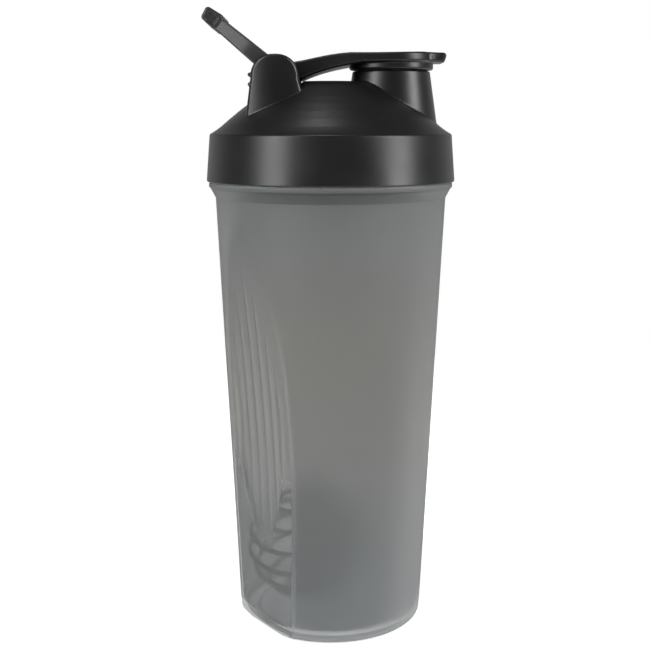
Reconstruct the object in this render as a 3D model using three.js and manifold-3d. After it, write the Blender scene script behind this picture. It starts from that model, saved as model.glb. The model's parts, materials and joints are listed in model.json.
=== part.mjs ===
// Protein shaker bottle: frosted cup with ribbed grips, screw lid with a spout, flip cap, carry loop
// and a loose wire whisk ball. Millimetres, +Z up, the origin is the centre of the foot on the table,
// +X points towards the spout.
import * as THREE from "three";
import { mergeVertices } from "three/addons/utils/BufferGeometryUtils.js";
import Module from "manifold-3d";

const wasm = await Module();
wasm.setup();
const { Manifold, Mesh: ManifoldMesh } = wasm;

// ---- driving dimensions ----

const ROUND = 64; // sides of the large turned shapes
const DEG = Math.PI / 180;
const CLEAN = 0.004; // edges shorter than this are merged away

// cup
const CUP_R0 = 35.85; // body radius extrapolated to the table
const CUP_TAPER = 0.0464; // radius gained per millimetre of height
const WALL = 1.6;
const FLOOR_TOP = 2.8;
const FOOT_R = 32.9; // outer edge of the ring the cup stands on
const FOOT_INNER_R = 28.5;
const FOOT_RECESS = 1.1;
const COLLAR_BASE_Z = 165.6;
const COLLAR_R = 46.0;
const COLLAR_TOP_Z = 171.6;
const NECK_R = 42.4;
const NECK_WALL = 1.8;
const RIM_Z = 186.4;

// screw thread
const LEAD = 5.5; // height gained in one turn
const CUP_THREAD_Z = 175.2; // centre of the cup's thread where it starts
const CUP_THREAD_TURNS = 1.5;
const CUP_THREAD_R = 43.6; // crest radius
const LID_THREAD_Z = CUP_THREAD_Z - LEAD / 2;
const LID_THREAD_FROM = 20 / 64; // turns after the cup's thread starts
const LID_THREAD_TO = 92 / 64;
const LID_THREAD_R = 42.95; // crest radius, facing inwards

// grips
const GRIP_AZIMUTH = 54; // degrees from -Y towards -X
const GRIP_DEPTH_R = 31.1; // distance of the flat from the axis at the table
const GRIP_LEAN = 0.024; // the flat's outward lean in its straight part
const GRIP_BEND_Z = 50; // the flat curves outwards above this height
const GRIP_BEND_R = 725;
const GRIP_TOP_Z = 166;
const RIB_HEIGHT = 0.5;
const RIB_WIDTH = 3.0;
// offset from the middle of the grip, lower end, upper end
const RIBS = [
  [0, 31, 144],
  [5.6, 35, 138],
  [10.8, 47, 121],
  [15, 60, 108],
];

// lid
const SKIRT_BOTTOM_Z = 172.0;
const SKIRT_BOTTOM_R = 46.8;
const SKIRT_TOP_Z = 189.9;
const SKIRT_TOP_R = 45.5;
const SKIRT_INNER_R = 44.35;
const CROWN_EDGE_R = 44.3;
const CROWN_EDGE_Z = 190.4;
const FLARE_R = 40.9; // the crown turns outwards to the skirt from here
const CROWN_FALL = 0.559; // slope beside the plateau
const CROWN_BEND = 0.0071; // how the crown steepens outwards
const PLATEAU_Z = 208.7;
const PLATEAU_R = 18.4;
const SHELL = 1.8;
const CEILING_Z = 189.0;
const PLUG_OUTER_R = 39.7;
const PLUG_INNER_R = 38.1;
const PLUG_BOTTOM_Z = 183.6;

// spout
const SPOUT_X = 22.6;
const SPOUT_TOP_Z = 212.5;
const SPOUT_TOP_R = 14.4;
const SPOUT_DRAFT = 0.15; // radius gained per millimetre downwards
const BORE_R = 12.1;

// hinge
const HINGE_X = -19.4;
const HINGE_Z = 209.6;
const SADDLE_R = 8.4;
const SADDLE_HALF = 19.6;
const EAR_OUTER = 23.9;
const EAR_BULGE_R = 26;
const EAR_HALF = 8.7;
const EAR_RISE = 8.8; // height of the rounded top
const EAR_TOP_Z = 217.8;
const EAR_SQUARENESS = 2.3; // 2 would be an ellipse
const TRUNNION_R = 2.5;
const SOCKET_R = 2.62;
const SOCKET_END = 22.0;
const HUB_R = 6.4;
const HUB_HALF = 14.2;

// flip cap
const CAP_TOP_Z = 218.9;
const CAP_RING_R = 15.6;
const CAP_RING_INNER_R = 13.4;
const CAP_DISC_R = 16.6;
const TIP_X = 43.7;
const BOSS_R = 9.7;
const BOSS_BORE_R = 7.9;
const SEAL_INNER_R = 9.9;
const SEAL_R = 11.75;

// carry loop
const LOOP_ANGLE = 138.5; // degrees from +X, at rest
const LOOP_INNER = 14.6; // inner face of an arm beside the hinge
const LOOP_OUTER = 19.2;
const ARM_BEND = 15; // from the hinge axis, where the arms start to close in
const ARM_END = 30;
const BAR_HALF = 12.6;
const BAR_CORNERS = [
  [28.0, 2.35],
  [35.2, 2.25],
  [35.8, -2.75],
  [28.4, -3.7],
]; // distance from the hinge axis, then height, with the loop lying flat
const BAR_ROUND = 1.3;
const DIMPLE_AT = [31.6, -0.2];
const DIMPLE_SIZE = [3.6, 3.8];
const DIMPLE_DEPTH = 0.8;

// whisk ball
const BALL_R = 22.6;
const WIRE_R = 1.0;
const BALL_TURNS = 7;
const BALL_AT = [-10.2, 4.6, FLOOR_TOP + 0.35 + BALL_R];
const BALL_TILT = [9, -6]; // degrees about X, then about Y

// ---- helpers ----

function solid(geometry) {
  const bare = geometry.index ? geometry.toNonIndexed() : geometry.clone();
  bare.deleteAttribute("normal");
  bare.deleteAttribute("uv");
  const merged = mergeVertices(bare, 1e-4);
  return new Manifold(
    new ManifoldMesh({
      numProp: 3,
      vertProperties: new Float32Array(merged.attributes.position.array),
      triVerts: new Uint32Array(merged.index.array),
    }),
  );
}

// A solid turned about Z from a closed profile of [r, z] points running anticlockwise.
function turned(profile, sides = ROUND) {
  const points = profile.map(([r, z]) => new THREE.Vector2(r, z));
  const onAxis = profile[0][0] === 0 && profile.at(-1)[0] === 0;
  if (!onAxis) points.push(points[0].clone());
  return solid(new THREE.LatheGeometry(points, sides).rotateX(Math.PI / 2));
}

function cylinder(radius, z0, z1, sides = 48, topRadius = radius) {
  return turned(
    [
      [0, z0],
      [radius, z0],
      [topRadius, z1],
      [0, z1],
    ],
    sides,
  );
}

// A rod along Y between two Y values, at (x, z).
function rodY(radius, x, z, y0, y1, sides = 40) {
  return cylinder(radius, -y1, -y0, sides)
    .rotate([90, 0, 0])
    .translate([x, 0, z]);
}

// A closed outline given in X and Z, carried along Y.
function slabY(shape, y0, y1, curveSegments = 12) {
  const depth = y1 - y0;
  const geometry = new THREE.ExtrudeGeometry(shape, { depth, bevelEnabled: false, curveSegments });
  return solid(geometry.rotateX(Math.PI / 2)).translate([0, y1, 0]);
}

// A closed outline given in X and Y, carried along Z.
function slabZ(shape, z0, z1, curveSegments = 24) {
  const depth = z1 - z0;
  const geometry = new THREE.ExtrudeGeometry(shape, { depth, bevelEnabled: false, curveSegments });
  return solid(geometry).translate([0, 0, z0]);
}

// Points of an arc about (cr, cz), angles in degrees.
function arc(cr, cz, radius, from, to, steps) {
  const points = [];
  for (let i = 0; i <= steps; i++) {
    const a = (from + ((to - from) * i) / steps) * DEG;
    points.push([cr + radius * Math.cos(a), cz + radius * Math.sin(a)]);
  }
  return points;
}

// A closed skin over rings of points; all rings have the same count, and the ends are capped.
function skinned(rings) {
  const count = rings[0].length;
  const positions = rings.flat(2);
  const index = [];
  for (let i = 0; i + 1 < rings.length; i++) {
    for (let j = 0; j < count; j++) {
      const a = i * count + j;
      const b = i * count + ((j + 1) % count);
      index.push(a, b, b + count);
      index.push(a, b + count, a + count);
    }
  }
  const last = (rings.length - 1) * count;
  for (let j = 1; j + 1 < count; j++) {
    index.push(0, j + 1, j);
    index.push(last, last + j, last + j + 1);
  }
  return new Manifold(
    new ManifoldMesh({
      numProp: 3,
      vertProperties: new Float32Array(positions),
      triVerts: new Uint32Array(index),
    }),
  );
}

// A helical ridge: root and crest radii, half widths there, tapering to nothing at both ends.
function thread(rootR, crestR, startZ, fromTurn, toTurn) {
  const rootHalf = 1.15;
  const crestHalf = 0.5;
  const runOut = 0.06;
  const steps = Math.round((toTurn - fromTurn) * ROUND);
  const rings = [];
  for (let i = 0; i <= steps; i++) {
    const turn = fromTurn + ((toTurn - fromTurn) * i) / steps;
    const end = Math.min(turn - fromTurn, toTurn - turn) / runOut;
    const size = Math.max(0.12, Math.min(1, end));
    const z = startZ + LEAD * turn;
    const crest = rootR + (crestR - rootR) * size;
    const a = turn * 2 * Math.PI;
    const section = [
      [rootR, z - rootHalf * size],
      [crest, z - crestHalf * size],
      [crest, z + crestHalf * size],
      [rootR, z + rootHalf * size],
    ];
    if (crestR > rootR) section.reverse();
    rings.push(section.map(([r, h]) => [r * Math.cos(a), r * Math.sin(a), h]));
  }
  return skinned(rings);
}

function toMesh(name, made, material) {
  const out = made.simplify(CLEAN).getMesh();
  const geometry = new THREE.BufferGeometry();
  geometry.setAttribute("position", new THREE.BufferAttribute(new Float32Array(out.vertProperties), 3));
  geometry.setIndex(new THREE.BufferAttribute(new Uint32Array(out.triVerts), 1));
  geometry.computeVertexNormals();
  const mesh = new THREE.Mesh(geometry, material);
  mesh.name = name;
  return mesh;
}

// ---- materials ----

function frostedPlastic() {
  return new THREE.MeshStandardMaterial({ color: 0x8c9093, roughness: 0.55, metalness: 0 });
}

function blackPlastic() {
  return new THREE.MeshStandardMaterial({ color: 0x17181a, roughness: 0.42, metalness: 0 });
}

function greyBlackPlastic() {
  return new THREE.MeshStandardMaterial({ color: 0x34363a, roughness: 0.5, metalness: 0 });
}

function silicone() {
  return new THREE.MeshStandardMaterial({ color: 0x2a2c2f, roughness: 0.7, metalness: 0 });
}

function stainless() {
  return new THREE.MeshStandardMaterial({ color: 0xb9bcc0, roughness: 0.25, metalness: 1 });
}

// ---- cup ----

function cupRadius(z) {
  return CUP_R0 + CUP_TAPER * z;
}

function gripDistance(z) {
  const above = Math.max(0, z - GRIP_BEND_Z);
  return GRIP_DEPTH_R + GRIP_LEAN * z + (above * above) / (2 * GRIP_BEND_R);
}

// Everything beyond the two grip flats, moved inwards by the given amount.
function beyondGrips(inwards, z0) {
  const far = 60;
  const shape = new THREE.Shape();
  shape.moveTo(-far, z0);
  shape.lineTo(-gripDistance(z0) + inwards, z0);
  const steps = 12;
  for (let i = 0; i <= steps; i++) {
    const z = GRIP_BEND_Z + ((GRIP_TOP_Z - GRIP_BEND_Z) * i) / steps;
    shape.lineTo(-gripDistance(z) + inwards, z);
  }
  shape.lineTo(-far, GRIP_TOP_Z);
  shape.closePath();
  const one = slabY(shape, -45, 45);
  const front = one.rotate([0, 0, 90 - GRIP_AZIMUTH]);
  const back = one.rotate([0, 0, 270 - GRIP_AZIMUTH]);
  return Manifold.union([front, back]);
}

function gripRibs() {
  const all = [];
  const steps = 8;
  for (const [offset, low, high] of RIBS) {
    for (const side of offset ? [-1, 1] : [1]) {
      const rings = [];
      for (let i = 0; i <= steps; i++) {
        const s = i / steps;
        const swell = Math.max(0.05, Math.sin(Math.PI * s) ** 0.6);
        const z = low + (high - low) * s;
        const half = (RIB_WIDTH / 2) * swell;
        const top = RIB_HEIGHT * swell;
        const face = gripDistance(z);
        const y = side * offset;
        rings.push([
          [-face + 0.5, y - half * 1.25, z],
          [-face + 0.5, y + half * 1.25, z],
          [-face - top * 0.8, y + half * 0.5, z],
          [-face - top, y, z],
          [-face - top * 0.8, y - half * 0.5, z],
        ]);
      }
      all.push(skinned(rings));
    }
  }
  const one = Manifold.union(all);
  return Manifold.union([
    one.rotate([0, 0, 90 - GRIP_AZIMUTH]),
    one.rotate([0, 0, 270 - GRIP_AZIMUTH]),
  ]);
}

function buildCup() {
  const edge = 3.0; // rounding under the body
  const outer = [
    [0, FOOT_RECESS],
    [FOOT_INNER_R - 1, FOOT_RECESS],
    [FOOT_INNER_R, 0],
    [FOOT_R, 0],
    ...arc(cupRadius(edge) - edge, edge, edge, -68, 0, 3),
    [cupRadius(GRIP_BEND_Z), GRIP_BEND_Z],
    [cupRadius(110), 110],
    [cupRadius(COLLAR_BASE_Z), COLLAR_BASE_Z],
    ...arc(cupRadius(COLLAR_BASE_Z) + 3.6, COLLAR_BASE_Z, 3.6, 168, 124, 3),
    [COLLAR_R - 0.35, COLLAR_TOP_Z - 2.0],
    [COLLAR_R, COLLAR_TOP_Z - 1.5],
    [COLLAR_R, COLLAR_TOP_Z - 0.3],
    [COLLAR_R - 0.3, COLLAR_TOP_Z],
    [NECK_R, COLLAR_TOP_Z],
    [NECK_R, RIM_Z - 0.6],
    [NECK_R - 0.6, RIM_Z],
    [0, RIM_Z],
  ];
  const corner = 4.0; // rounding round the floor inside
  const floorR = cupRadius(FLOOR_TOP) - WALL;
  const inner = [
    [0, FLOOR_TOP],
    ...arc(floorR - corner, FLOOR_TOP + corner, corner, -90, 0, 4),
    [cupRadius(GRIP_BEND_Z) - WALL, GRIP_BEND_Z],
    [cupRadius(110) - WALL, 110],
    [NECK_R - NECK_WALL, 160],
    [NECK_R - NECK_WALL, RIM_Z - 0.5],
    [NECK_R - NECK_WALL + 0.5, RIM_Z + 1],
    [0, RIM_Z + 1],
  ];
  const body = turned(outer).subtract(beyondGrips(0, -5));
  const hollow = turned(inner).subtract(beyondGrips(WALL, -5));
  const ridge = thread(NECK_R - 0.4, CUP_THREAD_R, CUP_THREAD_Z, 0, CUP_THREAD_TURNS);
  const made = Manifold.union([body, gripRibs(), ridge]).subtract(hollow);
  return toMesh("cup", made, frostedPlastic());
}

// ---- lid ----

function crownZ(r) {
  const out = r - PLATEAU_R;
  return PLATEAU_Z - CROWN_FALL * out - CROWN_BEND * out * out;
}

function lidOutside() {
  const crown = [FLARE_R, 37, 33, 29, 25, 21.4].map((r) => [r, crownZ(r)]);
  return turned([
    [0, SKIRT_BOTTOM_Z],
    [SKIRT_BOTTOM_R - 0.3, SKIRT_BOTTOM_Z],
    [SKIRT_BOTTOM_R, SKIRT_BOTTOM_Z + 0.4],
    [SKIRT_TOP_R, SKIRT_TOP_Z - 1.0],
    [SKIRT_TOP_R - 0.5, SKIRT_TOP_Z],
    [CROWN_EDGE_R, CROWN_EDGE_Z],
    [(CROWN_EDGE_R + FLARE_R) / 2, (CROWN_EDGE_Z + crownZ(FLARE_R)) / 2 - 0.15],
    ...crown,
    [19.2, crownZ(19.2) - 0.28],
    [17.2, PLATEAU_Z - 0.22],
    [14.8, PLATEAU_Z],
    [0, PLATEAU_Z],
  ]);
}

function lidHollow() {
  const steepest = CROWN_FALL + 2 * CROWN_BEND * (PLUG_INNER_R - PLATEAU_R);
  const drop = SHELL * Math.hypot(1, steepest);
  const mouth = turned([
    [0, SKIRT_BOTTOM_Z - 1],
    [SKIRT_INNER_R, SKIRT_BOTTOM_Z - 1],
    [SKIRT_INNER_R, CEILING_Z - 0.4],
    [SKIRT_INNER_R - 0.4, CEILING_Z],
    [PLUG_OUTER_R, CEILING_Z],
    [PLUG_OUTER_R, PLUG_BOTTOM_Z],
    [0, PLUG_BOTTOM_Z],
  ]);
  const dome = turned([
    [0, PLUG_BOTTOM_Z - 1],
    [PLUG_INNER_R, PLUG_BOTTOM_Z - 1],
    [PLUG_INNER_R, crownZ(PLUG_INNER_R) - drop],
    [PLATEAU_R - 0.6, PLATEAU_Z - SHELL - 0.4],
    [14.6, PLATEAU_Z - SHELL],
    [0, PLATEAU_Z - SHELL],
  ]);
  return mouth.add(dome);
}

function earPair() {
  const shape = new THREE.Shape();
  shape.moveTo(-31.4, 190);
  const steps = 18;
  for (let i = 0; i <= steps; i++) {
    const a = Math.PI * (1 - i / steps);
    const x = Math.sign(Math.cos(a)) * Math.abs(Math.cos(a)) ** (2 / EAR_SQUARENESS);
    const rise = Math.abs(Math.sin(a)) ** (2 / EAR_SQUARENESS);
    shape.lineTo(HINGE_X - 0.65 + EAR_HALF * x, EAR_TOP_Z - EAR_RISE * (1 - rise));
  }
  shape.lineTo(HINGE_X + 9.3, 204.7);
  shape.lineTo(-9.0, 198);
  shape.lineTo(-9.0, 190);
  shape.closePath();
  const plate = slabY(shape, -EAR_OUTER, -SADDLE_HALF, 14);
  const bulge = cylinder(EAR_BULGE_R, 180, 230, 80).translate([HINGE_X, EAR_BULGE_R - EAR_OUTER, 0]);
  const ridges = [210.6, 207.2].map((z) => rodY(0.75, -28.9, z, -22.6, -SADDLE_HALF, 10));
  const socket = rodY(SOCKET_R, HINGE_X, HINGE_Z, -SOCKET_END, -SADDLE_HALF + 1, 40);
  const ear = Manifold.union([plate, ...ridges]).intersect(bulge);
  return { ears: ear.add(ear.mirror([0, 1, 0])), sockets: socket.add(socket.mirror([0, 1, 0])) };
}

function buildLid() {
  const { ears, sockets } = earPair();
  const spoutBase = 190;
  const spoutR = SPOUT_TOP_R + (SPOUT_TOP_Z - spoutBase) * SPOUT_DRAFT;
  const spout = turned(
    [
      [0, spoutBase],
      [spoutR, spoutBase],
      [SPOUT_TOP_R + 0.06, SPOUT_TOP_Z - 0.4],
      [SPOUT_TOP_R - 0.4, SPOUT_TOP_Z],
      [0, SPOUT_TOP_Z],
    ],
    52,
  ).translate([SPOUT_X, 0, 0]);
  const saddle = rodY(SADDLE_R, HINGE_X, HINGE_Z, -SADDLE_HALF, SADDLE_HALF, 48);
  const underSaddle = rodY(SADDLE_R + SHELL, HINGE_X, HINGE_Z, -SADDLE_HALF - SHELL, SADDLE_HALF + SHELL, 48);
  const bore = cylinder(BORE_R, 180, 220, 52).translate([SPOUT_X, 0, 0]);
  const carved = lidHollow().subtract(underSaddle).subtract(spoutRoom(spout));
  const ridge = thread(SKIRT_INNER_R + 0.4, LID_THREAD_R, LID_THREAD_Z, LID_THREAD_FROM, LID_THREAD_TO);
  const upper = Manifold.union([lidOutside(), spout, ears]).subtract(saddle);
  const made = upper.subtract(carved).subtract(bore).subtract(sockets).add(ridge);
  return toMesh("lid_shell", made, blackPlastic());
}

// The part of the spout's wall that carries on a little way below the crown.
function spoutRoom(spout) {
  return spout.intersect(cylinder(60, 196, 230));
}

function buildGasket() {
  const made = turned([
    [PLUG_OUTER_R + 0.25, RIM_Z + 0.3],
    [NECK_R + 1.2, RIM_Z + 0.3],
    [NECK_R + 1.2, CEILING_Z - 0.3],
    [PLUG_OUTER_R + 0.25, CEILING_Z - 0.3],
  ]);
  return toMesh("lid_gasket", made, silicone());
}

// ---- flip cap ----

function capPlan() {
  const shape = new THREE.Shape();
  shape.moveTo(HINGE_X - 12, -HUB_HALF);
  shape.lineTo(-6, -HUB_HALF);
  shape.bezierCurveTo(4, -HUB_HALF, 8, -CAP_DISC_R, SPOUT_X, -CAP_DISC_R);
  shape.absarc(SPOUT_X, 0, CAP_DISC_R, -Math.PI / 2, -Math.PI / 5, false);
  shape.quadraticCurveTo(TIP_X - 4.5, -8.2, TIP_X - 1.2, -8.2);
  shape.quadraticCurveTo(TIP_X + 0.4, 0, TIP_X - 1.2, 8.2);
  const shoulder = [SPOUT_X + CAP_DISC_R * Math.cos(Math.PI / 5), CAP_DISC_R * Math.sin(Math.PI / 5)];
  shape.quadraticCurveTo(TIP_X - 4.5, 8.2, ...shoulder);
  shape.absarc(SPOUT_X, 0, CAP_DISC_R, Math.PI / 5, Math.PI / 2, false);
  shape.bezierCurveTo(8, CAP_DISC_R, 4, HUB_HALF, -6, HUB_HALF);
  shape.lineTo(HINGE_X - 12, HUB_HALF);
  shape.closePath();
  return shape;
}

function capSide() {
  const shape = new THREE.Shape();
  shape.moveTo(HINGE_X, HINGE_Z + HUB_R - 0.3);
  shape.bezierCurveTo(-12, 214.2, -6, 218.0, 7, CAP_TOP_Z - 0.1);
  shape.quadraticCurveTo(22, CAP_TOP_Z - 0.3, 34, CAP_TOP_Z + 0.3);
  shape.lineTo(TIP_X + 1, CAP_TOP_Z + 0.1);
  shape.lineTo(TIP_X - 1.7, 215.5);
  shape.lineTo(37, 215.6);
  shape.lineTo(12, 215.2);
  shape.quadraticCurveTo(-2, 213.4, -10.4, 209.3);
  shape.lineTo(HINGE_X, 208.4);
  shape.closePath();
  return shape;
}

function buildFlipCap() {
  const plan = slabZ(capPlan(), 200, 225);
  const side = slabY(capSide(), -20, 20, 10);
  const plate = plan.intersect(side);
  const hub = rodY(HUB_R, HINGE_X, HINGE_Z, -HUB_HALF, HUB_HALF);
  const pins = rodY(TRUNNION_R, HINGE_X, HINGE_Z, -SOCKET_END + 0.4, SOCKET_END - 0.4, 40);
  const ring = turned(
    [
      [0, 212.9],
      [CAP_RING_R - 0.8, 212.9],
      [CAP_RING_R - 0.5, 213.5],
      [CAP_RING_R, 213.9],
      [CAP_RING_R, 215.9],
      [0, 215.9],
    ],
    48,
  );
  const ringHollow = cylinder(CAP_RING_INNER_R, 212, 214.9, 48);
  const boss = cylinder(BOSS_R, 206.9, 216, 40);
  const bossHollow = cylinder(BOSS_BORE_R, 206, 214.9, 40);
  const closure = ring.subtract(ringHollow).add(boss).subtract(bossHollow).translate([SPOUT_X, 0, 0]);
  const made = Manifold.union([plate, hub, pins, closure]);
  return toMesh("flip_cap", made, blackPlastic());
}

function buildSeal() {
  const made = turned(
    [
      [SEAL_INNER_R, 207.2],
      [SEAL_R - 0.5, 207.2],
      [SEAL_R, 208.2],
      [SEAL_R - 0.25, 212.8],
      [CAP_RING_INNER_R - 0.35, 212.9],
      [CAP_RING_INNER_R - 0.35, 214.5],
      [SEAL_INNER_R, 214.5],
    ],
    48,
  ).translate([SPOUT_X, 0, 0]);
  return toMesh("spout_seal", made, silicone());
}

// ---- carry loop ----

// Built lying along +X from the hinge axis, then turned up to its resting angle.
function loopArm() {
  const closing = (LOOP_OUTER - BAR_HALF) / (BAR_CORNERS[0][0] - ARM_BEND);
  const section = (x, top, bottom) => {
    const shift = closing * Math.max(0, x - ARM_BEND);
    return [
      [x, -LOOP_OUTER + shift, bottom],
      [x, -LOOP_INNER + shift, bottom],
      [x, -LOOP_INNER + shift, top],
      [x, -LOOP_OUTER + shift, top],
    ];
  };
  const beam = skinned([
    section(4, 1.65, -4.7),
    section(ARM_BEND, 1.75, -3.88),
    section(ARM_END, 1.9, -2.75),
  ]);
  return beam.add(rodY(HUB_R, 0, 0, -LOOP_OUTER, -LOOP_INNER, 44));
}

function loopBar() {
  const shape = new THREE.Shape();
  BAR_CORNERS.forEach((corner, i) => {
    const here = new THREE.Vector2(...corner);
    const before = new THREE.Vector2(...BAR_CORNERS.at(i - 1)).sub(here).setLength(BAR_ROUND);
    const after = new THREE.Vector2(...BAR_CORNERS[(i + 1) % 4]).sub(here).setLength(BAR_ROUND);
    const start = before.add(here);
    const end = after.add(here);
    if (i === 0) shape.moveTo(start.x, start.y);
    else shape.lineTo(start.x, start.y);
    shape.quadraticCurveTo(here.x, here.y, end.x, end.y);
  });
  shape.closePath();
  return slabY(shape, -BAR_HALF, BAR_HALF, 6);
}

function buildLoop() {
  const arm = loopArm();
  const dimple = solid(new THREE.BoxGeometry(DIMPLE_SIZE[0], 2 * DIMPLE_DEPTH, DIMPLE_SIZE[1]))
    .translate([DIMPLE_AT[0], -BAR_HALF, DIMPLE_AT[1]]);
  const eye = rodY(SOCKET_R, 0, 0, -25, 25, 40);
  const made = Manifold.union([arm, arm.mirror([0, 1, 0]), loopBar()])
    .subtract(eye)
    .subtract(dimple)
    .subtract(dimple.mirror([0, 1, 0]))
    .rotate([0, -LOOP_ANGLE, 0])
    .translate([HINGE_X, 0, HINGE_Z]);
  return toMesh("carry_loop", made, greyBlackPlastic());
}

// ---- whisk ball ----

// One wire wound round a sphere from pole to pole, its ends turned in towards the middle.
class BallCurve extends THREE.Curve {
  getPoint(t, target = new THREE.Vector3()) {
    const reach = BALL_R - WIRE_R;
    const polar = (0.07 + 0.86 * t) * Math.PI;
    const turn = BALL_TURNS * 2 * Math.PI * t;
    const wobble = 1 - 0.012 * Math.cos(5 * turn);
    const r = reach * wobble;
    return target.set(
      r * Math.sin(polar) * Math.cos(turn),
      r * Math.sin(polar) * Math.sin(turn),
      r * Math.cos(polar),
    );
  }
}

function buildBall() {
  const shape = new THREE.Shape();
  shape.absarc(0, 0, WIRE_R, 0, 2 * Math.PI, false);
  const geometry = new THREE.ExtrudeGeometry(shape, {
    steps: 168,
    curveSegments: 3,
    bevelEnabled: false,
    extrudePath: new BallCurve(),
  });
  const made = solid(geometry)
    .rotate([BALL_TILT[0], BALL_TILT[1], 0])
    .translate(BALL_AT);
  return toMesh("whisk_ball", made, stainless());
}

// ---- assembly ----

const group = new THREE.Group();
group.name = "shaker_bottle";
const lid = new THREE.Group();
lid.name = "lid";
lid.add(buildLid());
lid.add(buildGasket());
const cap = new THREE.Group();
cap.name = "cap";
cap.add(buildFlipCap());
cap.add(buildSeal());
lid.add(cap);
lid.add(buildLoop());
group.add(buildCup());
group.add(lid);
group.add(buildBall());

export default group;
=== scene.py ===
"""Looks of a protein shaker bottle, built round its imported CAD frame.

Shapes are worked out in millimetres on the frame's axes (+Z up, +X towards the spout) and become
metres when their mesh is made. The lid, the flip cap and the carry loop are distance fields, which
gives every moulded edge and corner its rounding. The cup is one closed skin over angles and heights.
"""

import json
import math

import bpy
import numpy as np
from mathutils import Matrix, Vector


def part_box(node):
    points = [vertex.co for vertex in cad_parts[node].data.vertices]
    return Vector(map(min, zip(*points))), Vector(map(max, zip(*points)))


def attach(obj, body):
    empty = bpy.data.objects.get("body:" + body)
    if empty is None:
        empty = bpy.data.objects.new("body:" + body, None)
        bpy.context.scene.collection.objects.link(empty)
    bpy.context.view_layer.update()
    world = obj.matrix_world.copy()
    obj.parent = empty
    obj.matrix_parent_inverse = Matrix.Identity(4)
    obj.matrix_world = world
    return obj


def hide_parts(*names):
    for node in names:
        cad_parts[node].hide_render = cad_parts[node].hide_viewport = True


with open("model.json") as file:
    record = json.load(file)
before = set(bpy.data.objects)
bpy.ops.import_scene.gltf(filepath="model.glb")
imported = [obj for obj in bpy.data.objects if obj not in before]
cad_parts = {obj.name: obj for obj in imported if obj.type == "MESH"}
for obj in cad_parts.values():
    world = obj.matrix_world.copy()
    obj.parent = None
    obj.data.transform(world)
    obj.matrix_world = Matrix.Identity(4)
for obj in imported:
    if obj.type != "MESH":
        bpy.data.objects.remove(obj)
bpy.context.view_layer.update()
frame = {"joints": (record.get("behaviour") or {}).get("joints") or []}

MM = 0.001  # metres in a millimetre


def corners_mm(node):
    """Lowest and highest corner of a CAD node, in millimetres."""
    low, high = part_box(node)
    return Vector(low) / MM, Vector(high) / MM


# ---- places that come from the frame ----

_, cup_high = corners_mm("cup")
lid_low, lid_high = corners_mm("lid_shell")
gasket_low, gasket_high = corners_mm("lid_gasket")
cap_low, cap_high = corners_mm("flip_cap")
seal_low, seal_high = corners_mm("spout_seal")
loop_low, loop_high = corners_mm("carry_loop")
ball_low, ball_high = corners_mm("whisk_ball")
joints = {joint["name"]: joint for joint in frame["joints"]}
HINGE_X, _, HINGE_Z = Vector(joints["cap_flip"]["pos_m"]) / MM

# cup
WALL = 1.6
CUP_TAPER = 0.0464  # radius gained for each millimetre of height
RIM_Z = cup_high.z
COLLAR_R = cup_high.x
COLLAR_TOP_Z = RIM_Z - 14.8
COLLAR_BASE_Z = COLLAR_TOP_Z - 6.0
CUP_R0 = COLLAR_R - 10.15  # body radius carried down to the table
NECK_R = COLLAR_R - 3.6
NECK_WALL = 1.8
FLOOR_TOP = 2.8
FOOT_R = 32.9
FOOT_INNER_R = 28.5
FOOT_RECESS = 1.1
FLOOR_FADE = 3  # distance over which the painted light on the cup's floor fades out towards the wall

# grips
GRIP_ANGLES = [math.radians(216), math.radians(36)]
GRIP_DISTANCE = 31.1  # from the axis, at the table
GRIP_LEAN = 0.024
GRIP_BEND_Z = 50
GRIP_BEND_R = 725
GRIP_CREASE = 0.45
GRIP_SPAN = 26  # half the width that is drawn finely across a grip
GRIP_COLUMN = 0.4  # width of a column there
PLAIN_COLUMNS = 62  # columns from one grip to the other
GRIP_REACH = math.radians(60)  # a grip's flat lies well within this angle of its middle
GRIP_POLISH = 0.85  # how far the mould's frosting is left out below a grip's ribs
GRIP_FADE = 10  # height over which the frosting comes back
RIB_POLISH = 0.15  # share of GRIP_POLISH that is left above that
RIB_HEIGHT = 0.45
RIB_HALF = 1.5
RIB_SWELL = 0.6  # below 1, so that a rib rises quickly at its ends
RIB_ROUND = 1.2
RIB_TIP = 0.05  # share of its width that a rib keeps at its tips
RIBS = [(0, 31, 144), (5.6, 35, 138), (10.8, 47, 121), (15, 60, 108)]  # offset, lower end, upper end

# screw thread
LEAD = 5.5
CUP_THREAD_Z = COLLAR_TOP_Z + 3.6
CUP_THREAD_TURNS = 1.5
THREAD_HEIGHT = 1.2
THREAD_HALF = 1.15  # half its width at the root
THREAD_FLANK = 0.55  # share of that which a flank takes up
THREAD_LEAD_IN = 0.06  # turns over which an end rises
LID_THREAD_TURNS = (20 / 64, 92 / 64)
LID_THREAD_HEIGHT = 1.4

# lid
SKIRT_BOTTOM_Z = lid_low.z
SKIRT_R = lid_high.x
SKIRT_TOP_Z = SKIRT_BOTTOM_Z + 17.9
SKIRT_TOP_R = SKIRT_R - 1.3
SKIRT_INNER_R = SKIRT_R - 2.45
CROWN_EDGE_R = SKIRT_R - 2.5
CROWN_EDGE_Z = SKIRT_TOP_Z + 0.5
FLARE_R = 40.9  # the crown turns outwards to the skirt from here
PLATEAU_Z = SKIRT_BOTTOM_Z + 36.7
PLATEAU_R = 18.4
CROWN_FALL = 0.559  # slope beside the plateau
CROWN_BEND = 0.0071  # how the crown steepens outwards
SHELL = 1.8
CEILING_Z = SKIRT_TOP_Z - 0.9
PLUG_R = 39.7
PLUG_INNER_R = 38.1
PLUG_BOTTOM_Z = CEILING_Z - 5.4

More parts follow.
